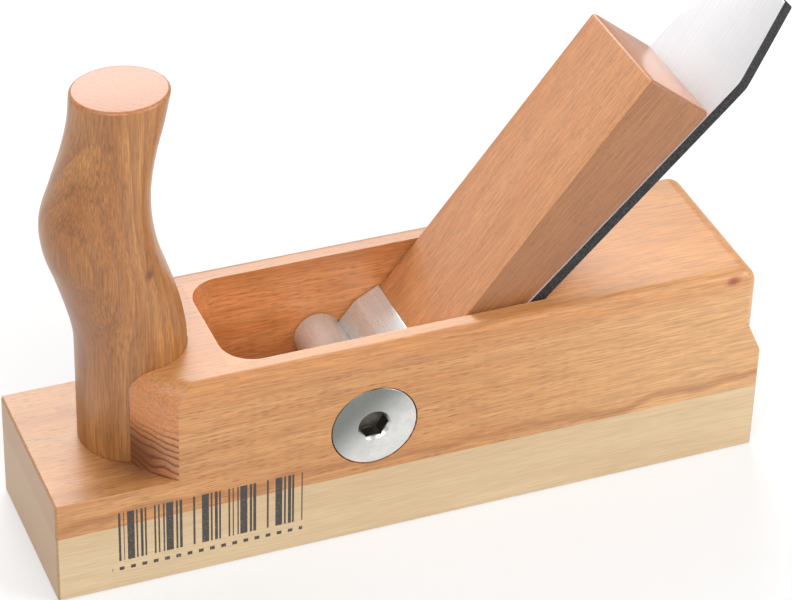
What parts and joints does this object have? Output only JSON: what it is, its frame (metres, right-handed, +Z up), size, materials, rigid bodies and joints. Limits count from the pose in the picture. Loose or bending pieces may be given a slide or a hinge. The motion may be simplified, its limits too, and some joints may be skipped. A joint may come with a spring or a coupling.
{
  "type": "hand plane",
  "caption": "Wooden smoothing plane with a front horn, a pale wear sole, a long cutting iron, a wedge and a turning steel clamp bar.",
  "frame": {"origin": "centre of the sole's running face, midway between toe and heel", "axes": "+X along the sole towards the heel, so the toe and horn point to -X; +Y across the width; +Z up from the running face"},
  "size_m": [0.2278, 0.055, 0.1493],
  "materials": {
    "stock_beech": "planed and oiled steamed beech",
    "sole_hornbeam": "planed pale hornbeam",
    "horn_beech": "sanded and oiled",
    "wedge_beech": "planed beech",
    "iron_steel": "ground face, dark edges",
    "clamp_steel": "satin turned steel",
    "screw_zinc": "turned face, bright zinc"
  },
  "bodies": {
    "plane_body": {"stock": "stock_beech", "sole": "sole_hornbeam", "horn": "horn_beech", "horn_dowel": "horn_beech"},
    "iron": {"cutting_iron": "iron_steel"},
    "wedge_body": {"wedge": "wedge_beech"},
    "clamp": {"clamp_bar": "clamp_steel", "pressure_plate": "clamp_steel", "clamp_screw_left": "screw_zinc", "clamp_screw_right": "screw_zinc"}
  },
  "joints": [
    {"name": "iron_slide", "type": "slide", "parent": "plane_body", "child": "iron", "axis": [0.7071, 0, 0.7071], "range_m": [-0.001, 0.08]},
    {"name": "wedge_slide", "type": "slide", "parent": "plane_body", "child": "wedge_body", "axis": [0.7071, 0, 0.7071], "range_m": [0, 0.08]},
    {"name": "clamp_turn", "type": "hinge", "parent": "plane_body", "child": "clamp", "pos_m": [-0.01435, 0, 0.03874], "axis": [0, 1, 0], "range_deg": [-110, 0]}
  ]
}
